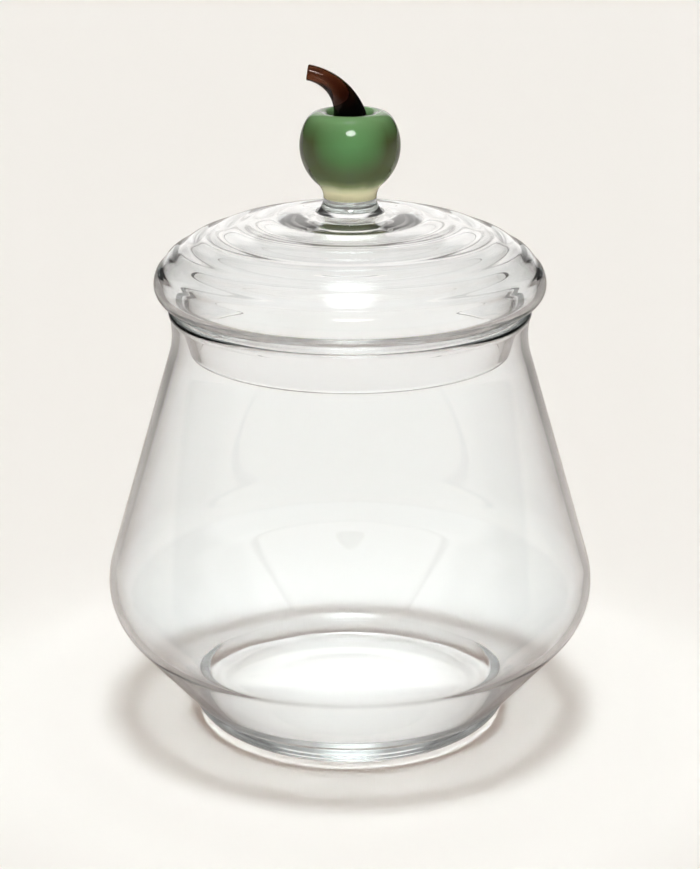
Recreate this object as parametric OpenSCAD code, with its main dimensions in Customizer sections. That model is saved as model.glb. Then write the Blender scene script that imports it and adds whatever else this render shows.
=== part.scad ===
// Lidded glass storage jar: a clear onion-shaped jar, a domed lid with
// rings rippled into it and a hollow plug, and a green apple for a knob.

/* [Jar] */
// Height of the jar to the top of its lip
jar_h = 140; // [130:1:154]
// Largest diameter, at the belly
belly_d = 160; // [152:1:172]
// Height of the widest ring above the table
belly_z = 47; // [43:0.5:54]
// Radius of the wall's curve below the widest ring
belly_low_r = 22.4; // [18:0.2:26]
// Radius of the wall's curve above the widest ring
belly_up_r = 27; // [20:0.5:40]
// Diameter of the lip along the middle of its bead
lip_d = 113.8; // [108:0.2:119]
// How far the lip flares out past the neck below it
lip_flare = 0.85; // [0.6:0.05:1.2]
// Height of the lip's bead above the narrowest part of the neck
lip_rise = 6.9; // [5.5:0.1:9]
// Thickness of the blown wall
jar_wall = 2.5; // [2:0.1:2.7]
// Radius of the fire-polished bead round the mouth
bead_r = 1.4; // [1.4:0.1:1.7]

/* [Foot] */
// Outer diameter of the foot
foot_d = 107; // [101:0.5:110]
// Height at which the lower wall leaves the foot
foot_h = 8; // [7:0.5:10]
// Rounding of the foot's lower edge
foot_edge_r = 10; // [8:0.5:11.5]
// Thickness of the floor inside the jar
floor_t = 6; // [5:0.5:8]
// Rounding between the floor and the inner wall
floor_edge_r = 20; // [16:0.5:23]
// Diameter of the hollow under the foot
punt_d = 60; // [50:1:70]
// Depth of the hollow under the foot
punt_h = 0.6; // [0.4:0.1:1.2]

/* [Lid] */
// How far the lid's rim stands out past the middle of the lip
lid_overhang = 5.8; // [5.2:0.1:7.5]
// Height of the dome above the lid's widest ring
dome_h = 23; // [18:0.5:30]
// Thickness of the lid's wall
lid_wall = 2.6; // [2:0.1:3]
// Rounding under the lid's rim
rim_under_r = 5.8; // [4.5:0.1:7]
// Slope of the flange that seats on the lip, from upright
seat_angle = 54; // [50:1:58]
// How far the plug's lower edge lies inside the middle of the lip
plug_inset = 5.6; // [5:0.1:6.6]
// Taper of the plug, from upright
plug_taper = 15.5; // [12:0.5:16.5]
// Depth of the plug below the lid's widest ring
plug_depth = 22.4; // [20:0.2:24]
// Rounding between the flange and the plug
plug_fillet_r = 2; // [1:0.2:3]
// Clearance between the seat and the lip
seat_gap = 0.25; // [0.2:0.05:0.35]

/* [Ripples] */
// Number of rings rippled into the dome
ripple_count = 5; // [3:1:6]
// Depth of the outer ripple; the others get shallower towards the crown
ripple_depth = 0.62; // [0.3:0.02:0.8]
// Where the ripples start, as the ellipse's angle from the crown
ripple_start_angle = 16.3; // [15:0.1:20]
// Where the ripples end, as the ellipse's angle from the crown
ripple_end_angle = 79.8; // [70:0.1:84]

/* [Knob] */
// Diameter of the clear neck at its waist
neck_d = 16.8; // [14:0.2:19]
// Height of the clear neck
neck_h = 4.6; // [3.6:0.2:5]
// Radius of the neck's flare
neck_flare_r = 5.8; // [5.4:0.2:8]
// Diameter of the apple
apple_d = 31.8; // [30:0.2:36]
// Height of the apple, from the neck to its crown
apple_h = 27.2; // [25:0.2:30]
// Height of the apple's widest part, as a share of the apple's height
apple_mid = 0.607; // [0.57:0.001:0.63]
// Rounding of the apple's shoulder
apple_shoulder_r = 5; // [4:0.1:6.6]
// Depth of the dimple in the crown
dimple_h = 3.4; // [3:0.1:4.4]

/* [Stem] */
// Diameter of the stem where it leaves the dimple
stem_base_d = 12; // [9:0.2:12.4]
// Diameter of the stem's cut end
stem_tip_d = 5; // [4:0.2:6]
// Radius of the stem's bend
stem_bend_r = 15.8; // [14:0.1:19]
// Turn of the stem, from upright towards the left
stem_turn = 81; // [60:1:85]
// Room between the stem and the dimple's wall
stem_gap = 0.4; // [0.3:0.05:0.6]

/* [Hidden] */
$fn = 128;
arc_n = 10;
dome_n = 72;
stem_n = 20;
stem_sides = 28;

function polar(a) = [cos(a), sin(a)];
function arc(c, r, a0, a1, n = arc_n) = [for (i = [0:n]) c + r * polar(a0 + (a1 - a0) * i / n)];
// Angle at which a line from point p touches the circle (c, r), on the side given by s
function touch(p, c, r, s) = atan2(p[1] - c[1], p[0] - c[0]) + s * acos(r / norm(p - c));

// Jar wall: one arc below the widest ring, one above it, and a hollow arc up to the
// flared lip, with straight walls touching them
belly_r = belly_d / 2;
low_c = [belly_r - belly_low_r, belly_z];
up_c = [belly_r - belly_up_r, belly_z];
bead_c = [lip_d / 2, jar_h - bead_r];
foot_r = foot_d / 2;
foot_c = [foot_r - foot_edge_r, foot_edge_r];
foot_top_a = asin((foot_h - foot_edge_r) / foot_edge_r);
foot_top = foot_c + foot_edge_r * polar(foot_top_a);
low_a = touch(foot_top, low_c, belly_low_r, 1);
throat_r = (pow(lip_rise, 2) + pow(lip_flare, 2)) / (2 * lip_flare);
throat_c = bead_c + [throat_r - lip_flare, -lip_rise];
up_to_throat = throat_c - up_c;
up_a = atan2(up_to_throat[1], up_to_throat[0])
    - acos((belly_up_r - jar_wall / 2 + throat_r) / norm(up_to_throat));
bead_n = -asin(lip_rise / throat_r);
bead_a = acos(jar_wall / 2 / bead_r);
floor_z = floor_t + floor_edge_r;
floor_reach = belly_low_r - jar_wall - floor_edge_r - (floor_z - belly_z) * sin(low_a);
floor_c = [low_c[0] + floor_reach / cos(low_a), floor_z];

// Lid, measured from its widest ring, then set down on the lip
lid_r = lip_d / 2 + lid_overhang;
plug_r = lip_d / 2 - plug_inset;
rim_c = [lid_r - rim_under_r, 0];
seat_n = polar(-seat_angle);
seat_top = rim_c + rim_under_r * seat_n;
edge_r = lid_wall / 2;
plug_n = polar(-plug_taper);
plug_low = [plug_r, edge_r - plug_depth];
edge_c = plug_low - edge_r * plug_n;
// The rounding's centre lies at its radius from both the flange and the plug
corner_k = [plug_fillet_r + seat_top * seat_n, plug_fillet_r + plug_low * plug_n];
corner_d = seat_n[0] * plug_n[1] - seat_n[1] * plug_n[0];
plug_c = [corner_k[0] * plug_n[1] - corner_k[1] * seat_n[1],
    corner_k[1] * seat_n[0] - corner_k[0] * plug_n[0]] / corner_d;
seat_reach = bead_r + seat_gap - (bead_c[0] - seat_top[0]) * cos(seat_angle);
lid_z = bead_c[1] - seat_top[1] + seat_reach / sin(seat_angle);

// Knob, standing on a flat land on top of the dome
neck_r = neck_d / 2;
neck_base_r = neck_r + neck_flare_r - sqrt(pow(neck_flare_r, 2) - pow(neck_h, 2));
land_r = neck_base_r + 0.6;
land_a = asin(land_r / lid_r);
land_h = dome_h * cos(land_a);
land_z = lid_z + land_h;
neck_top_z = land_z + neck_h;
apple_r = apple_d / 2;
apple_c_z = apple_mid * apple_h;
apple_foot_r = (pow(apple_c_z, 2) - pow(apple_r, 2) + pow(neck_r, 2)) / 2 / (apple_r - neck_r);
apple_low_c = [neck_r + apple_foot_r, 0];
apple_low_a = atan2(apple_c_z, -apple_low_c[0]);
shoulder_a = asin((apple_h - apple_c_z - apple_shoulder_r) / (apple_r - apple_shoulder_r));
shoulder_c = [0, apple_c_z] + (apple_r - apple_shoulder_r) * polar(shoulder_a);
stem_base_r = stem_base_d / 2;
stem_tip_r = stem_tip_d / 2;
dimple_r = stem_base_r + stem_gap;
dimple_round_r = min(shoulder_c[0] - dimple_r, dimple_h - 0.2);
dimple_c = [dimple_r + dimple_round_r, apple_h - dimple_round_r];
dimple_z = neck_top_z + apple_h - dimple_h;

// Ripples: a cosine wave cut into the dome, even along the ellipse's angle and growing with it
ripple_pitch = (ripple_end_angle - ripple_start_angle) / ripple_count;
function ripple(a) = a < ripple_start_angle || a > ripple_end_angle ? 0
    : ripple_depth * a / ripple_end_angle / 2 * (1 - cos(360 * (a - ripple_start_angle) / ripple_pitch));
function dome_point(a) = [lid_r * sin(a), dome_h * cos(a) - ripple(a)];

// Clear jar: foot, wall and lip, and the hollow inside
module jar_body() {
    punt_r = punt_d / 2;
    punt = [for (i = [0:8]) [punt_r * i / 8, punt_h * (1 - pow(i / 8, 2))]];
    foot = arc(foot_c, foot_edge_r, -90, foot_top_a);
    throat = arc(throat_c, throat_r - jar_wall / 2, up_a + 180, bead_n + 182);
    outside = concat(arc(low_c, belly_low_r, low_a, 0), arc(up_c, belly_up_r, 0, up_a), throat);
    lip = arc(bead_c, bead_r, bead_n - bead_a, bead_n + 180 + bead_a, 16);
    throat_in = arc(throat_c, throat_r + jar_wall / 2, bead_n + 182, up_a + 180);
    inside = concat(throat_in, arc(up_c, belly_up_r - jar_wall, up_a, 0),
        arc(low_c, belly_low_r - jar_wall, 0, low_a));
    floor_edge = arc(floor_c, floor_edge_r, low_a, -90);
    color([0.86, 0.91, 0.89, 0.35])
        rotate_extrude()
            polygon(concat(punt, foot, outside, lip, inside, floor_edge, [[0, floor_t]]));
}

// Clear lid: rippled dome, rolled rim, flange that seats on the lip, and hollow plug
module lid_shell() {
    dome = [for (i = [0:dome_n]) dome_point(land_a + (90 - land_a) * i / dome_n)];
    rim = arc(rim_c, rim_under_r, 0, -seat_angle);
    plug = arc(plug_c, plug_fillet_r, 180 - seat_angle, 180 - plug_taper, 8);
    edge = arc(edge_c, edge_r, -plug_taper, -180 - plug_taper, 12);
    plug_in = arc(plug_c, plug_fillet_r + lid_wall, 180 - plug_taper, 180 - seat_angle, 8);
    rim_in = arc(rim_c, rim_under_r - lid_wall, -seat_angle, 0);
    dome_in = [for (i = [1:24]) let (a = 90 * i / 24)
        [(lid_r - lid_wall) * cos(a), (dome_h - lid_wall) * sin(a)]];
    color([0.86, 0.91, 0.89, 0.35])
        translate([0, 0, lid_z])
            rotate_extrude()
                polygon(concat([[0, land_h]], dome, rim, plug, edge, plug_in, rim_in, dome_in));
}

// Clear neck that joins the apple to the dome
module knob_neck() {
    flare = arc([neck_r + neck_flare_r, neck_h], neck_flare_r, 180 + asin(neck_h / neck_flare_r), 180);
    color([0.84, 0.90, 0.84, 0.5])
        translate([0, 0, land_z])
            rotate_extrude()
                polygon(concat([[0, 0]], flare, [[0, neck_h]]));
}

// Green apple with a dimple in its crown
module apple_knob() {
    low = arc(apple_low_c, apple_foot_r, 180, apple_low_a);
    round = arc([0, apple_c_z], apple_r, apple_low_a - 180, shoulder_a, 24);
    shoulder = arc(shoulder_c, apple_shoulder_r, shoulder_a, 90, 12);
    dimple = arc(dimple_c, dimple_round_r, 90, 180);
    dimple_floor = [[dimple_r, apple_h - dimple_h], [0, apple_h - dimple_h]];
    color([0.30, 0.56, 0.33])
        translate([0, 0, neck_top_z])
            rotate_extrude()
                polygon(concat([[0, 0]], low, round, shoulder, dimple, dimple_floor));
}

// Brown stem: a round section that thins along its bend and is cut square at the end
function stem_r(u) = stem_tip_r + (stem_base_r - stem_tip_r) * pow(1 - u, 2);
function stem_ring(u, r) = let (a = stem_turn * u)
    [for (j = [0:stem_sides - 1])
        let (b = 360 * j / stem_sides, k = stem_bend_r + r * cos(b))
            [k * cos(a) - stem_bend_r, r * sin(b), k * sin(a)]];
module apple_stem() {
    steps = concat([for (i = [0:stem_n - 1]) [i / stem_n, stem_r(i / stem_n)]],
        [[0.985, stem_tip_r], [1, stem_tip_r - 0.4]]);
    last = len(steps) - 1;
    points = [for (s = steps) each stem_ring(s[0], s[1])];
    walls = [for (i = [0:last - 1], j = [0:stem_sides - 1])
        let (a = i * stem_sides, b = a + stem_sides, k = (j + 1) % stem_sides)
            each [[a + j, b + j, b + k], [a + j, b + k, a + k]]];
    base = [for (j = [0:stem_sides - 1]) j];
    tip = [for (j = [stem_sides - 1:-1:0]) last * stem_sides + j];
    color([0.22, 0.11, 0.06])
        translate([0, 0, dimple_z])
            polyhedron(points, concat(walls, [base, tip]));
}

jar_body();
lid_shell();
knob_neck();
apple_knob();
apple_stem();
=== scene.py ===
import math
import bpy
import numpy as np
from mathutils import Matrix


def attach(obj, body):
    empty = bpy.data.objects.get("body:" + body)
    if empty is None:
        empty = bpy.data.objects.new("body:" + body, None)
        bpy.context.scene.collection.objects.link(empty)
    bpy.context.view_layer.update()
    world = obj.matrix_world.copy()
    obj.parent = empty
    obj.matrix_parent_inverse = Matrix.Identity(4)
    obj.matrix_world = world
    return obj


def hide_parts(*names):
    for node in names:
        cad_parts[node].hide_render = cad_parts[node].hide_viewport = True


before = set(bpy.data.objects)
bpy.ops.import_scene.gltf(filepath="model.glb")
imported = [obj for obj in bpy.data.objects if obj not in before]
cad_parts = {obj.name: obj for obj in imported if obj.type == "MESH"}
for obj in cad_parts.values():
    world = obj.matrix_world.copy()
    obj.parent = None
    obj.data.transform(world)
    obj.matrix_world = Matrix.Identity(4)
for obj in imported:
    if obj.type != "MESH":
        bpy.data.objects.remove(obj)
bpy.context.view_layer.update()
scene = bpy.context.scene
mm = 0.001
print("frame loaded:", sorted(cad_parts))


# shared shape helpers

# arc: the centre plus the radius times cosine and sine of evenly spaced angles, in degrees
def arcPoints(centre, radius, start, end, count=60):
    a = np.radians(np.linspace(start, end, count))
    return np.stack([centre[0] + radius * np.cos(a), centre[1] + radius * np.sin(a)], 1)


# direction of an angle in degrees, as (radius, height)
def polar(angle):
    return np.array([math.cos(math.radians(angle)), math.sin(math.radians(angle))])


# angle at which a line from the point touches the circle: the point's own angle plus the arc
# cosine of the radius over the point's distance
def touchAngle(point, centre, radius):
    d = np.subtract(point, centre)
    return math.degrees(math.atan2(d[1], d[0]) + math.acos(radius / math.hypot(*d)))


# profile walked again: equal fine steps, a Gaussian of width soften over them, then rows
# spaced so that each adds one unit of length over step plus turning over turn degrees
def walkProfile(points, d):
    fine, soften = d["fine"], d["soften"]
    gaps = np.hypot(*np.diff(points, axis=0).T)
    points = points[np.concatenate([[True], gaps > 1e-6])]  # points that coincide are dropped
    along = np.concatenate([[0], np.cumsum(np.hypot(*np.diff(points, axis=0).T))])
    count = int(along[-1] / fine)
    at = np.linspace(0, along[-1], count)
    dense = np.stack([np.interp(at, along, points[:, k]) for k in (0, 1)], 1)
    reach = int(4 * soften / fine) + 1  # four widths either way
    kernel = np.exp(-0.5 * (np.arange(-reach, reach + 1) * fine / soften) ** 2)
    kernel /= kernel.sum()
    mirror = np.array([-1, 1])  # the profile carries on across the axis at both ends
    padded = np.concatenate([dense[reach:0:-1] * mirror, dense, dense[-2:-reach - 2:-1] * mirror])
    smooth = np.stack([np.convolve(padded[:, k], kernel, "valid") for k in (0, 1)], 1)
    smooth[[0, -1], 0] = 0
    move = np.diff(smooth, axis=0)
    heading = np.unwrap(np.arctan2(move[:, 1], move[:, 0]))
    bend = np.abs(np.diff(heading, prepend=heading[0]))
    cost = np.hypot(*move.T) / d["step"] + np.degrees(bend) / d["turn"]
    cost = np.concatenate([[0], np.cumsum(cost)])
    rows = np.interp(np.linspace(0, cost[-1], int(cost[-1]) + 1), cost, np.arange(count))
    return np.stack([np.interp(rows, np.arange(count), smooth[:, k]) for k in (0, 1)], 1)


# smooth mesh object from a grid in millimetres: a tube of rows of points, each row joined to the
# next, and the first and last rows closed by fans onto the two end points
def putTube(name, grid, ends):
    rows, sides = grid.shape[:2]
    points = np.concatenate([grid.reshape(-1, 3), ends])
    j = np.arange(sides)
    k = (j + 1) % sides
    base = np.arange(rows - 1)[:, None] * sides
    quads = np.stack([base + j, base + k, base + sides + k, base + sides + j], 2).reshape(-1, 4)
    top = (rows - 1) * sides
    lower = np.stack([np.full(sides, rows * sides), k, j], 1)
    upper = np.stack([top + j, top + k, np.full(sides, rows * sides + 1)], 1)
    mesh = bpy.data.meshes.new(name)
    mesh.from_pydata((points * mm).tolist(), [], lower.tolist() + quads.tolist() + upper.tolist())
    mesh.polygons.foreach_set("use_smooth", np.ones(len(mesh.polygons), bool))
    mesh.update()
    piece = bpy.data.objects.new(name, mesh)
    scene.collection.objects.link(piece)
    return piece


# blown wall: waves of one plus the sine of the angle round the axis, each with its count, start,
# twist by height and share, times a depth that grows from nought with the radius
def blownWaves(r, z, a, d):
    waves = sum(share * (1 + np.sin(count * a + start + twist * z))
                for count, start, twist, share in d["waves"])
    return d["waveDepth"] * waves * np.clip((r - d["waveFrom"]) / d["waveOver"], 0, 1)


# surface of revolution: radius times cosine and sine of the angle round the axis, with one
# vertex at each end on the axis; the waves of a blown wall draw the radius in
def revolve(name, profile, d):
    rows = walkProfile(profile, d)
    a = np.linspace(0, 2 * np.pi, d["segments"], endpoint=False)
    r = np.repeat(rows[1:-1, :1], d["segments"], 1)
    z = np.repeat(rows[1:-1, 1:], d["segments"], 1)
    if "waves" in d:
        r = r - blownWaves(r, z, a, d)
    grid = np.stack([r * np.cos(a), r * np.sin(a), z], 2)
    return putTube(name, grid, [[0, 0, rows[0, 1]], [0, 0, rows[-1, 1]]])


# shared material helpers

def newMaterial(name):
    material = bpy.data.materials.new(name)
    material.use_nodes = True
    tree = material.node_tree
    return material, tree, tree.nodes["Principled BSDF"]


# a socket takes another node's output as a link, and anything else as its own value
def plug(tree, socket, value):
    if isinstance(value, bpy.types.NodeSocket):
        tree.links.new(value, socket)
    else:
        socket.default_value = value


# sockets by name, with underscores for spaces
def feed(tree, node, **values):
    for name, value in values.items():
        plug(tree, node.inputs[name.replace("_", " ")], value)


# number carried from one range to another, straight or with soft ends
def mapped(tree, value, soft=False, **ranges):
    node = tree.nodes.new("ShaderNodeMapRange")
    node.interpolation_type = "SMOOTHSTEP" if soft else "LINEAR"
    feed(tree, node, Value=value, **ranges)
    return node.outputs["Result"]


# sum, product or greater of two numbers
def combined(tree, operation, first, second):
    node = tree.nodes.new("ShaderNodeMath")
    node.operation = operation
    plug(tree, node.inputs[0], first)
    plug(tree, node.inputs[1], second)
    return node.outputs["Value"]


# vector turned or scaled
def placed(tree, vector, **change):
    node = tree.nodes.new("ShaderNodeMapping")
    feed(tree, node, Vector=vector, **change)
    return node.outputs["Vector"]


def lengthOf(tree, vector):
    node = tree.nodes.new("ShaderNodeVectorMath")
    node.operation = "LENGTH"
    plug(tree, node.inputs[0], vector)
    return node.outputs["Value"]


# one of a vector's three numbers
def axisOf(tree, vector, axis):
    node = tree.nodes.new("ShaderNodeSeparateXYZ")
    feed(tree, node, Vector=vector)
    return node.outputs[axis]


# colour mixed towards another by a share; 6, 7 and 2 are the places of the node's colours
def toned(tree, colour, other, share):
    node = tree.nodes.new("ShaderNodeMix")
    node.data_type = "RGBA"
    feed(tree, node, Factor=share)
    plug(tree, node.inputs[6], colour)
    plug(tree, node.inputs[7], other)
    return node.outputs[2]


def noiseOf(tree, vector, **look):
    node = tree.nodes.new("ShaderNodeTexNoise")
    feed(tree, node, Vector=vector, **look)
    return node.outputs["Fac"]


# faint waves of blown glass: noise on object coordinates, as bump
def blownBump(tree, shader, d):
    coord = tree.nodes.new("ShaderNodeTexCoord").outputs["Object"]
    stretched = placed(tree, coord, Scale=d["bumpStretch"])
    noise = noiseOf(tree, stretched, Scale=d["bumpScale"], Detail=1.0, Roughness=0.4)
    bump = tree.nodes.new("ShaderNodeBump")
    feed(tree, bump, Strength=1.0, Distance=d["bumpDepth"], Height=noise)
    feed(tree, shader, Normal=bump.outputs["Normal"])


# glass whose colour deepens with its thickness
def tintedGlass(name, d):
    material, tree, shader = newMaterial(name)
    feed(tree, shader, Base_Color=d["tint"], Roughness=d["roughness"], IOR=d["ior"], Transmission_Weight=1.0)
    blownBump(tree, shader, d)
    volume = tree.nodes.new("ShaderNodeVolumeAbsorption")
    feed(tree, volume, Color=d["absorb"], Density=d["density"])
    feed(tree, tree.nodes["Material Output"], Volume=volume.outputs["Volume"])
    return material


# faces where two pieces of glass are fused: light goes straight on through them
def fusedGlass():
    material, tree, shader = newMaterial("fused_seam")
    feed(tree, shader, Base_Color=(1, 1, 1, 1), Roughness=0.0, IOR=1.0, Transmission_Weight=1.0)
    return material


clearLook = dict(ior=1.5, tint=(1, 1, 1, 1), roughness=0.0, absorb=(0.70, 0.86, 0.80, 1), density=1.4,
                 bumpScale=26.0, bumpDepth=0.00002, bumpStretch=(1, 1, 0.6))

jarGlass = tintedGlass("jar_glass", clearLook)
lidGlass = tintedGlass("lid_glass", clearLook)
seam = fusedGlass()


# jar: foot, onion wall and flared lip, one closed shell of glass

jar = dict(height=140.0, belly=80.0, bellyZ=47.0, lowRound=22.4, upRound=27.0, wall=2.5,
           lip=56.9, flare=0.85, rise=6.9, bead=1.4, beadTuck=2.0,
           foot=53.5, footHeight=8.0, footRound=10.0, floor=6.0, floorRound=20.0,
           punt=30.0, puntRise=0.6, puntPoints=40,
           waves=[(2, 0.6, 0.0, 1.0), (3, 0.0, 0.05, 0.6), (5, 0.0, -0.09, 0.4)],
           waveDepth=0.03, waveFrom=0.0, waveOver=80.0,
           segments=256, step=1.7, turn=5.0, soften=0.25, fine=0.04)


# wall: one arc below the widest ring, one above it and a hollow arc up to the lip's bead,
# joined by straight runs that touch them; the inside is the same arcs less the wall; the foot
# is an arc round a hollow whose rise falls by the square of the radius
def jarProfile(d):
    half = d["wall"] / 2
    lowC = np.array([d["belly"] - d["lowRound"], d["bellyZ"]])
    upC = np.array([d["belly"] - d["upRound"], d["bellyZ"]])
    beadC = np.array([d["lip"], d["height"] - d["bead"]])
    footC = np.array([d["foot"] - d["footRound"], d["footRound"]])
    footTop = math.degrees(math.asin((d["footHeight"] - d["footRound"]) / d["footRound"]))
    lowA = touchAngle(footC + d["footRound"] * polar(footTop), lowC, d["lowRound"])
    throat = (d["rise"] ** 2 + d["flare"] ** 2) / (2 * d["flare"])
    throatC = beadC + [throat - d["flare"], -d["rise"]]
    reach = throatC - upC
    upA = math.degrees(math.atan2(reach[1], reach[0])
                       - math.acos((d["upRound"] - half + throat) / math.hypot(*reach)))
    beadN = -math.degrees(math.asin(d["rise"] / throat))
    beadA = math.degrees(math.acos(half / d["bead"]))
    throatTop = beadN + 180 + d["beadTuck"]  # the throat's arcs stop short of the bead's middle
    floorZ = d["floor"] + d["floorRound"]
    into = d["lowRound"] - d["wall"] - d["floorRound"] - (floorZ - d["bellyZ"]) * polar(lowA)[1]
    floorC = np.array([lowC[0] + into / polar(lowA)[0], floorZ])
    puntR = np.linspace(0, d["punt"], d["puntPoints"])
    return np.concatenate([
        np.stack([puntR, d["puntRise"] * (1 - (puntR / d["punt"]) ** 2)], 1),
        arcPoints(footC, d["footRound"], -90, footTop),
        arcPoints(lowC, d["lowRound"], lowA, 0), arcPoints(upC, d["upRound"], 0, upA),
        arcPoints(throatC, throat - half, upA + 180, throatTop),
        arcPoints(beadC, d["bead"], beadN - beadA, beadN + 180 + beadA),
        arcPoints(throatC, throat + half, throatTop, upA + 180),
        arcPoints(upC, d["upRound"] - d["wall"], upA, 0),
        arcPoints(lowC, d["lowRound"] - d["wall"], 0, lowA),
        arcPoints(floorC, d["floorRound"], lowA, -90), [[0, d["floor"]]]])


jarPiece = revolve("glass_jar", jarProfile(jar), jar)
jarPiece.data.materials.append(jarGlass)
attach(jarPiece, "jar")
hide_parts("jar_body")
print("jar:", len(jarPiece.data.polygons), "faces")


# lid: rippled dome, rolled rim, flange on the lip, and hollow plug

lid = dict(radius=62.7, dome=23.0, wall=2.6, rimRound=5.8, seat=54.0, gap=0.25,
           plug=51.3, taper=15.5, depth=22.4, fillet=2.0, sag=1.7, sagFrom=13.5, sagTo=23.5,
           ripples=5, rippleDepth=0.62, rippleFrom=16.3, rippleTo=79.8,
           waves=[(2, 2.1, 0.0, 1.0), (3, 0.0, -0.06, 0.5)], waveDepth=0.03, waveFrom=15.0, waveOver=60.0,
           domePoints=900, insidePoints=300, segments=256, step=1.1, turn=4.0, soften=0.2, fine=0.04)
neck = dict(waist=8.4, height=4.6, flare=5.8, land=0.6, gapLow=0.01, gapTop=0.02,
            segments=160, step=0.6, turn=4.0, soften=0.05, fine=0.01)

# the flange's cone rests on the lip's bead, with the gap between them
seatN = polar(-lid["seat"])
rimC = np.array([lid["radius"] - lid["rimRound"], 0])
seatTop = rimC + lid["rimRound"] * seatN
seatReach = jar["bead"] + lid["gap"] - (jar["lip"] - seatTop[0]) * seatN[0]
lidZ = jar["height"] - jar["bead"] - seatTop[1] + seatReach / -seatN[1]

# the neck stands on a flat land in the crown of the dome
neckBase = neck["waist"] + neck["flare"] - math.sqrt(neck["flare"] ** 2 - neck["height"] ** 2)
landR = neckBase + neck["land"]
landH = lid["dome"] * math.sqrt(1 - (landR / lid["radius"]) ** 2)
landZ = lidZ + landH
neckTop = landZ + neck["height"]


# ripple: half the depth times one less the cosine, even along the ellipse's angle and growing with it
def ripple(a, d):
    start, end = math.radians(d["rippleFrom"]), math.radians(d["rippleTo"])
    turns = (a - start) * d["ripples"] / (end - start)
    wave = d["rippleDepth"] * a / end / 2 * (1 - np.cos(2 * np.pi * turns))
    return np.where((a > start) & (a < end), wave, 0)


# dome: a quarter ellipse less the ripple; rim and flange: an arc and a cone; plug: a tapered
# wall with a round edge; the inside is the same curves less the wall, and under the neck the hot
# glass has sagged by its depth times half of one plus a cosine
def lidProfile(d):
    edge = d["wall"] / 2
    plugN = polar(-d["taper"])
    plugLow = np.array([d["plug"], edge - d["depth"]])
    edgeC = plugLow - edge * plugN
    sides = np.stack([seatN, plugN])
    cornerC = np.linalg.solve(sides, d["fillet"] + np.array([seatTop @ seatN, plugLow @ plugN]))
    a = np.linspace(math.asin(landR / d["radius"]), np.pi / 2, d["domePoints"])
    dome = np.stack([d["radius"] * np.sin(a), d["dome"] * np.cos(a) - ripple(a, d)], 1)
    b = np.linspace(0, np.pi / 2, d["insidePoints"])
    domeIn = np.stack([(d["radius"] - d["wall"]) * np.cos(b), (d["dome"] - d["wall"]) * np.sin(b)], 1)
    out = np.clip((domeIn[:, 0] - d["sagFrom"]) / (d["sagTo"] - d["sagFrom"]), 0, 1)
    domeIn[:, 1] -= d["sag"] * (1 + np.cos(np.pi * out)) / 2
    outline = np.concatenate([
        [[0, landH]], dome, arcPoints(rimC, d["rimRound"], 0, -d["seat"]),
        arcPoints(cornerC, d["fillet"], 180 - d["seat"], 180 - d["taper"]),
        arcPoints(edgeC, edge, -d["taper"], -180 - d["taper"]),
        arcPoints(cornerC, d["fillet"] + d["wall"], 180 - d["taper"], 180 - d["seat"]),
        arcPoints(rimC, d["rimRound"] - d["wall"], -d["seat"], 0), domeIn])
    outline[-1, 0] = 0
    return outline[::-1] + [0, lidZ]


# material 1 on the faces whose centres lie in a flat disc, near one of the given heights
def fuseFaces(piece, heights, reach, near=0.02):
    centre = np.zeros(len(piece.data.polygons) * 3)
    piece.data.polygons.foreach_get("center", centre)
    centre = centre.reshape(-1, 3) / mm
    flat = np.min([np.abs(centre[:, 2] - h) for h in heights], 0) < near
    inside = np.hypot(centre[:, 0], centre[:, 1]) < reach
    piece.data.polygons.foreach_set("material_index", (flat & inside).astype(np.int32))


lidPiece = revolve("glass_lid", lidProfile(lid), lid)
lidPiece.data.materials.append(lidGlass)
lidPiece.data.materials.append(seam)
fuseFaces(lidPiece, [landZ], neckBase)
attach(lidPiece, "lid")
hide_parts("lid_shell")
print("lid:", len(lidPiece.data.polygons), "faces, widest ring at", round(lidZ, 2))


# clear neck under the apple: a hollow arc from the dome up to the waist, with a hair's gap at
# each end so that no two faces coincide
def neckProfile(d):
    low = math.degrees(math.asin(d["height"] / d["flare"]))
    flare = arcPoints([d["waist"] + d["flare"], d["height"]], d["flare"], 180 + low, 180)
    shrink = 1 - (d["gapLow"] + d["gapTop"]) / d["height"]
    return np.concatenate([[[0, 0]], flare, [[0, d["height"]]]]) * [1, shrink] + [0, landZ + d["gapLow"]]


neckPiece = revolve("glass_neck", neckProfile(neck), neck)
neckPiece.data.materials.append(lidGlass)
neckPiece.data.materials.append(seam)
fuseFaces(neckPiece, [landZ + neck["gapLow"], neckTop - neck["gapTop"]], neckBase)
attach(neckPiece, "lid")
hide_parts("knob_neck")


# green glass apple with a dimple

apple = dict(radius=15.9, height=27.2, mid=0.607, shoulder=5.0, dimple=3.4, lipSpare=0.2, stemBase=6.0,
             stemGap=0.4, ballPoints=160, segments=192, step=0.45, turn=4.0, soften=0.12, fine=0.02)


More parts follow.
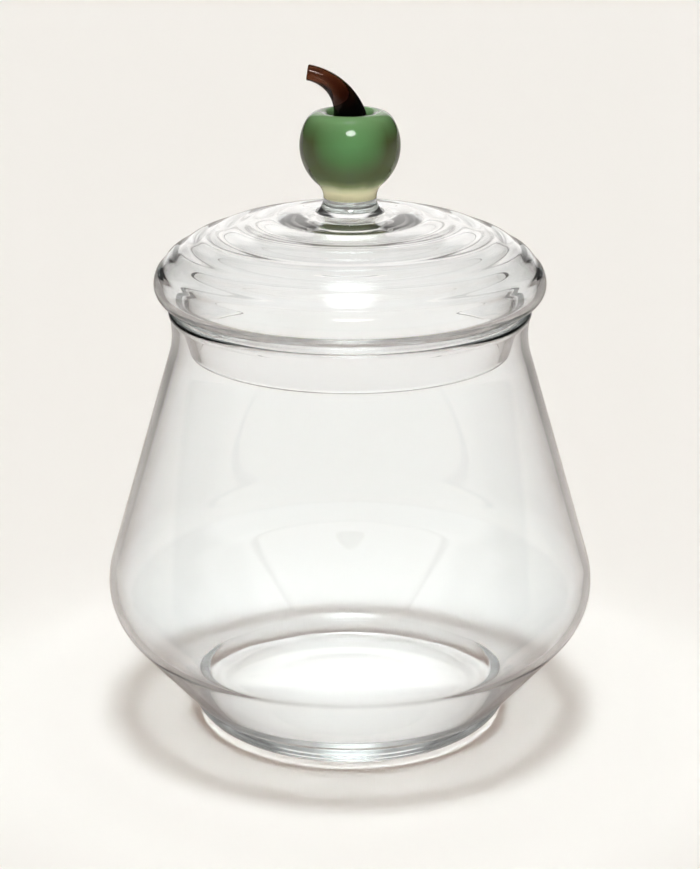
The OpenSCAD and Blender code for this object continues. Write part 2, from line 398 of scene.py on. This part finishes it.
# a ball with a hollow arc down to the neck, a tighter arc over the shoulder and a dimple in the crown
def appleProfile(d):
    ballZ = d["mid"] * d["height"]
    foot = (ballZ ** 2 - d["radius"] ** 2 + neck["waist"] ** 2) / 2 / (d["radius"] - neck["waist"])
    footC = np.array([neck["waist"] + foot, 0])
    lowA = math.degrees(math.atan2(ballZ, -footC[0]))
    shoulderReach = d["radius"] - d["shoulder"]
    shoulderA = math.degrees(math.asin((d["height"] - ballZ - d["shoulder"]) / shoulderReach))
    shoulderC = np.array([0, ballZ]) + shoulderReach * polar(shoulderA)
    dimpleR = d["stemBase"] + d["stemGap"]
    lipR = min(shoulderC[0] - dimpleR, d["dimple"] - d["lipSpare"])
    dimpleZ = d["height"] - d["dimple"]
    return np.concatenate([
        [[0, 0]], arcPoints(footC, foot, 180, lowA),
        arcPoints([0, ballZ], d["radius"], lowA - 180, shoulderA, d["ballPoints"]),
        arcPoints(shoulderC, d["shoulder"], shoulderA, 90),
        arcPoints([dimpleR + lipR, d["height"] - lipR], lipR, 90, 180),
        [[dimpleR, dimpleZ], [0, dimpleZ]]]) + [0, neckTop]


# apple colours by height over the neck, streaked a little: the green glass's own tint with painted light
# and shade in it, darker below the middle, lighter towards the top and pale at the foot where light shows
# through the thin glass from the neck; painted edge shade darkens the colour where the glass turns away
# from the view, standing for the depth of the casing, as strong as its curve says at each height; core is
# the height whose green shows in the apple's underside through the clear neck, inside a share of the waist
appleLook = dict(
    # stops: the green's own tint with painted shade below the middle, painted light towards the top and
    # painted light at the pale foot
    stops=[(0.0, (0.52, 0.51, 0.31, 1)), (0.09, (0.74, 0.71, 0.47, 1)), (0.15, (0.64, 0.64, 0.38, 1)),
           (0.21, (0.26, 0.31, 0.13, 1)), (0.28, (0.09, 0.14, 0.048, 1)), (0.40, (0.083, 0.17, 0.061, 1)),
           (0.54, (0.082, 0.218, 0.070, 1)), (0.70, (0.12, 0.29, 0.11, 1)), (0.85, (0.13, 0.29, 0.115, 1)),
           (1.0, (0.17, 0.32, 0.14, 1))],
    streak=0.05, streakScale=150.0, streakStretch=(1, 1, 0.12),
    # the dark colour mixed in at the rim is painted edge shade, where the glass turns away from the view
    casingShade=(0.065, 0.085, 0.032, 1), turned=(0.0, 0.33),
    edgeShadeShare=[(0.10, 0.0), (0.36, 1.0), (0.72, 1.0), (0.96, 0.25)],
    core=0.28, coreEdge=(0.98, 0.90), ior=1.5, polish=(0.02, 0.06),
    bumpScale=45.0, bumpDepth=0.00001, bumpStretch=(1, 1, 0.4))


def greenGlass(d):
    material, tree, shader = newMaterial("apple_green")
    blownBump(tree, shader, d)
    coord = tree.nodes.new("ShaderNodeTexCoord").outputs["Object"]
    height = mapped(tree, axisOf(tree, coord, "Z"), From_Min=neckTop * mm,
                    From_Max=(neckTop + apple["height"]) * mm)
    stretched = placed(tree, coord, Scale=d["streakStretch"])
    streak = noiseOf(tree, stretched, Scale=d["streakScale"], Detail=2.0)
    shift = mapped(tree, streak, To_Min=-d["streak"], To_Max=d["streak"])
    uneven = combined(tree, "ADD", height, shift)
    outward = lengthOf(tree, placed(tree, coord, Scale=(1, 1, 0)))
    start, full = [share * neck["waist"] * mm for share in d["coreEdge"]]
    core = mapped(tree, outward, From_Min=start, From_Max=full, To_Max=d["core"])
    # colour by height: the glass's own green with painted shade low down and painted light at the top and at
    # the foot
    ramp = tree.nodes.new("ShaderNodeValToRGB")
    for at, colour in d["stops"][1:-1]:
        ramp.color_ramp.elements.new(at)
    for element, (at, colour) in zip(ramp.color_ramp.elements, d["stops"]):
        element.position, element.color = at, colour
    feed(tree, ramp, Fac=combined(tree, "MAXIMUM", uneven, core))
    # painted edge shade: the colour darkens where the glass turns away from the view, standing for the
    # casing's depth, strongest at mid height
    facing = tree.nodes.new("ShaderNodeLayerWeight").outputs["Facing"]
    away = mapped(tree, facing, From_Min=d["turned"][0], From_Max=d["turned"][1])
    edgeShadeShare = tree.nodes.new("ShaderNodeFloatCurve")
    curve = edgeShadeShare.mapping.curves[0]
    for at, share in d["edgeShadeShare"][1:-1]:
        curve.points.new(at, share)
    for point, place in zip(curve.points, d["edgeShadeShare"]):
        point.location, point.handle_type = place, "VECTOR"
    feed(tree, edgeShadeShare, Value=height)
    casingShade = combined(tree, "MULTIPLY", away, edgeShadeShare.outputs["Value"])
    casingShaded = toned(tree, ramp.outputs["Color"], d["casingShade"], casingShade)
    polish = mapped(tree, streak, To_Min=d["polish"][0], To_Max=d["polish"][1])
    feed(tree, shader, Base_Color=casingShaded, Roughness=polish, IOR=d["ior"])
    return material


applePiece = revolve("apple_ball", appleProfile(apple), apple)
applePiece.data.materials.append(greenGlass(appleLook))
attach(applePiece, "lid")
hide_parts("apple_knob")


# brown glass stem, bent to the left

stem = dict(base=apple["stemBase"], tip=2.5, bend=15.8, turn=81.0, thin=2.0, edge=0.4,
            rings=120, capRings=10, sides=72)
stemLook = dict(ior=1.45, tint=(0.85, 0.62, 0.5, 1), roughness=0.03, absorb=(0.46, 0.24, 0.05, 1),
                density=870.0, bumpScale=90.0, bumpDepth=0.00002, bumpStretch=(1, 1, 0.5))


# round section carried along an arc that bends to the left; the radius runs from base to tip
# by a power of what is left of the way, rounds over at the cut end and closes there in rings
def stemTube(d):
    u = np.linspace(0, 1, d["rings"])
    r = d["tip"] + (d["base"] - d["tip"]) * (1 - u) ** d["thin"]
    edgeShare = d["edge"] / (d["bend"] * math.radians(d["turn"]))
    left = np.clip((1 - u) / edgeShare, 0, 1)
    r = r - d["edge"] * (1 - np.sqrt(1 - (1 - left) ** 2))
    u = np.concatenate([u, np.ones(d["capRings"])])
    r = np.concatenate([r, r[-1] * np.linspace(1, 0, d["capRings"] + 2)[1:-1]])[:, None]
    a = np.radians(d["turn"] * u)[:, None]
    b = np.linspace(0, 2 * np.pi, d["sides"], endpoint=False)
    reach = d["bend"] + r * np.cos(b)
    dimpleZ = neckTop + apple["height"] - apple["dimple"]
    grid = np.stack([reach * np.cos(a) - d["bend"], r * np.sin(b) + 0 * a, reach * np.sin(a) + dimpleZ], 2)
    end = d["bend"] * polar(d["turn"])
    return putTube("apple_stalk", grid, [[0, 0, dimpleZ], [end[0] - d["bend"], 0, end[1] + dimpleZ]])


stalkPiece = stemTube(stem)
stalkPiece.data.materials.append(tintedGlass("stem_brown", stemLook))
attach(stalkPiece, "lid")
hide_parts("apple_stem")
print("knob: neck, apple and stalk done")


# stage: pale floor, soft panels in a dark surround, and the camera

floorLook = dict(half=6.0, drop=0.0001, roughness=0.9, seen=(0.926, 0.90, 0.875, 1), lit=(1.0, 1.0, 1.0, 1),
                 mirrored=(0.781, 0.678, 0.631, 1), dim=(0.05, 0.05, 0.05, 1), fade=2.8, near=0.15, far=0.8)


# paper: toned to cream for the camera, white where the glass shows it, warmer where the glass
# mirrors it, and dark where it mirrors it from far off, as the paper's edges are out of the light
def paleFloor(d):
    h, z = d["half"], -d["drop"]
    mesh = bpy.data.meshes.new("floor")
    mesh.from_pydata([(-h, -h, z), (h, -h, z), (h, h, z), (-h, h, z)], [], [(0, 1, 2, 3)])
    floor = bpy.data.objects.new("floor", mesh)
    scene.collection.objects.link(floor)
    material, tree, shader = newMaterial("pale_paper")
    path = tree.nodes.new("ShaderNodeLightPath").outputs
    coord = tree.nodes.new("ShaderNodeTexCoord").outputs["Object"]
    farOff = mapped(tree, lengthOf(tree, coord), True, From_Min=d["near"], From_Max=d["far"])
    often = mapped(tree, path["Glossy Depth"], From_Max=d["fade"])
    colour = d["lit"]
    for other, share in ((d["mirrored"], path["Glossy Depth"]),
                         (d["dim"], combined(tree, "MULTIPLY", often, farOff)),
                         (d["seen"], path["Is Camera Ray"])):
        colour = toned(tree, colour, other, share)
    feed(tree, shader, Base_Color=colour, Roughness=d["roughness"], Specular_IOR_Level=0.0)
    mesh.materials.append(material)
    return floor


light = dict(
    # panel overhead, and the shares of it that show through the glass, mirrored on it or inside it
    zenithUp=87.0, zenithWide=0.22, zenithSoft=0.6, zenithPower=39.5, zenithTint=(1, 1.105, 1.12, 1),
    through=0.017, outer=0.10, inner=0.336,
    # patch behind the jar, the dark round it, and even light for the floor
    back=1.1, side=0.03, backEdge=(0.92, 0.97), backTop=(0.44, 0.50), backTint=(1, 0.985, 0.96, 1),
    fill=0.225, fillTint=(1, 0.62, 0.42, 1), mapSize=1024,
    # ceiling and front side, for what the glass mirrors from inside
    high=0.4, highFrom=(0.56, 0.64), front=1.0, frontEdge=(-0.05, -0.35), insideTint=(0.8, 0.8, 0.8, 1),
    # front panel
    panelUp=37.5, panelTurn=2.0, panelFar=1.2, panelAim=0.19, panelWide=0.45, panelTall=0.28, panelPower=4.6,
    # light gathered under the jar
    poolWide=0.10, poolUp=0.08, poolPower=0.004, poolTint=(1, 0.92, 0.84))


# value for a ray that has had none of a kind of bounce, and for one that has had some
def byDepth(tree, path, kind, none, some):
    return mapped(tree, path[kind + " Depth"], To_Min=none, To_Max=some)


def glow(tree, strength, tint):
    node = tree.nodes.new("ShaderNodeBackground")
    feed(tree, node, Color=tint, Strength=strength)
    return node.outputs["Background"]


# panel overhead: the direction turned so that the panel's middle is up, then scaled so that the
# panel's edge lies at one
def zenithPanel(tree, coord, path, d):
    turned = placed(tree, coord, Rotation=(math.radians(d["zenithUp"] - 90), 0, 0))
    scaled = placed(tree, turned, Scale=(1 / d["zenithWide"], 1 / d["zenithWide"], 0))
    power = mapped(tree, lengthOf(tree, scaled), True, From_Min=1 - d["zenithSoft"], From_Max=1.0,
                   To_Min=d["zenithPower"], To_Max=0.0)
    shown = byDepth(tree, path, "Diffuse", d["through"], 1.0)
    outer = byDepth(tree, path, "Diffuse", d["outer"], 1.0)
    mirrored = byDepth(tree, path, "Transmission", outer, d["inner"])
    share = byDepth(tree, path, "Glossy", shown, mirrored)
    return glow(tree, combined(tree, "MULTIPLY", power, share), d["zenithTint"])


# surround: dark, with a bright patch low down behind the jar that fades out to the sides and up,
# and with a ceiling and a front side that are lit only where the glass mirrors them from inside
def studioLight(d):
    world = bpy.data.worlds.new("studio")
    scene.world = world
    world.use_nodes = True
    world.cycles.sampling_method = "MANUAL"
    world.cycles.sample_map_resolution = d["mapSize"]
    tree = world.node_tree
    path = tree.nodes.new("ShaderNodeLightPath").outputs
    coord = tree.nodes.new("ShaderNodeTexCoord").outputs["Generated"]
    height = axisOf(tree, coord, "Z")
    level = tree.nodes.new("ShaderNodeVectorMath")
    level.operation = "NORMALIZE"
    plug(tree, level.inputs[0], placed(tree, coord, Scale=(1, 1, 0)))
    bearing = axisOf(tree, level.outputs["Vector"], "Y")  # one behind the jar, minus one before it

    across = mapped(tree, bearing, True, From_Min=d["backEdge"][0], From_Max=d["backEdge"][1])
    below = mapped(tree, height, True, From_Min=d["backTop"][0], From_Max=d["backTop"][1],
                   To_Min=1.0, To_Max=0.0)
    patch = combined(tree, "MULTIPLY", across, below)
    sky = tree.nodes["Background"]
    feed(tree, sky, Color=d["backTint"], Strength=mapped(tree, patch, To_Min=d["side"], To_Max=d["back"]))

    # even light on the floor and the apple, left out where the glass shows or mirrors the surround
    fill = byDepth(tree, path, "Glossy", byDepth(tree, path, "Diffuse", 0.0, d["fill"]), 0.0)

    above = mapped(tree, height, True, From_Min=d["highFrom"][0], From_Max=d["highFrom"][1], To_Max=d["high"])
    high = byDepth(tree, path, "Glossy", 0.0, byDepth(tree, path, "Transmission", 0.0, above))
    ahead = mapped(tree, bearing, True, From_Min=d["frontEdge"][0], From_Max=d["frontEdge"][1],
                   To_Max=d["front"])
    front = byDepth(tree, path, "Glossy", 0.0, byDepth(tree, path, "Transmission", 0.0, ahead))
    front = byDepth(tree, path, "Diffuse", front, 0.0)

    whole = sky.outputs["Background"]
    for part in (glow(tree, fill, d["fillTint"]), glow(tree, high, d["insideTint"]),
                 glow(tree, front, d["insideTint"]), zenithPanel(tree, coord, path, d)):
        join = tree.nodes.new("ShaderNodeAddShader")
        plug(tree, join.inputs[0], whole)
        plug(tree, join.inputs[1], part)
        whole = join.outputs["Shader"]
    feed(tree, tree.nodes["World Output"], Surface=whole)


# front panel: an oval of light on an arm from the knob's height, up by one angle and round by
# another; it lights the pieces and leaves the floor to the panel overhead
def frontPanel(d, pieces):
    lamp = bpy.data.lights.new("front_panel", "AREA")
    lamp.shape = "ELLIPSE"
    lamp.size = d["panelWide"]
    lamp.size_y = d["panelTall"]
    lamp.energy = d["panelPower"]
    panel = bpy.data.objects.new("front_panel", lamp)
    up, turn = math.radians(d["panelUp"]), math.radians(d["panelTurn"])
    out = d["panelFar"] * math.cos(up)
    rise = d["panelFar"] * math.sin(up)
    panel.location = (out * math.sin(turn), -out * math.cos(turn), d["panelAim"] + rise)
    panel.rotation_euler = (math.pi / 2 - up, 0, turn)
    panel.visible_camera = False
    panel.visible_transmission = False
    lit = bpy.data.collections.new("front_lit")
    for piece in pieces:
        lit.objects.link(piece)
    panel.light_linking.receiver_collection = lit
    scene.collection.objects.link(panel)


# light that the curved glass gathers under the jar: a small soft lamp for the floor alone
def gatheredLight(d, floor):
    lamp = bpy.data.lights.new("gathered_light", "AREA")
    lamp.shape = "DISK"
    lamp.size = d["poolWide"]
    lamp.energy = d["poolPower"]
    lamp.color = d["poolTint"]
    pool = bpy.data.objects.new("gathered_light", lamp)
    pool.location = (0, 0, d["poolUp"])
    pool.visible_camera = False
    pool.visible_glossy = False
    pool.visible_transmission = False
    only = bpy.data.collections.new("floor_lit")
    only.objects.link(floor)
    pool.light_linking.receiver_collection = only
    pool.light_linking.blocker_collection = only
    scene.collection.objects.link(pool)


view = dict(place=(0.0, -0.700, 0.33219), down=0.32572, lens=93.564, sensor=36.0, nearest=0.01, farthest=50.0)


def photoCamera(d):
    data = bpy.data.cameras.new("camera")
    data.lens = d["lens"]
    data.sensor_width = d["sensor"]
    data.sensor_fit = "AUTO"
    data.clip_start = d["nearest"]
    data.clip_end = d["farthest"]
    camera = bpy.data.objects.new("camera", data)
    camera.location = d["place"]
    camera.rotation_euler = (math.pi / 2 - d["down"], 0, 0)
    scene.collection.objects.link(camera)
    scene.camera = camera


floorPiece = paleFloor(floorLook)
studioLight(light)
gatheredLight(light, floorPiece)
frontPanel(light, [jarPiece, lidPiece, neckPiece, applePiece, stalkPiece])
photoCamera(view)
scene.cycles.max_bounces = 64  # light crosses the jar and lid by many bounces inside the glass
scene.cycles.transmission_bounces = 64
scene.cycles.glossy_bounces = 48
scene.cycles.diffuse_bounces = 6
scene.cycles.sample_clamp_indirect = 0.0
scene.cycles.blur_glossy = 0.0
scene.cycles.use_denoising = True
scene.view_settings.view_transform = "Standard"
print("stage: floor, light and camera done")
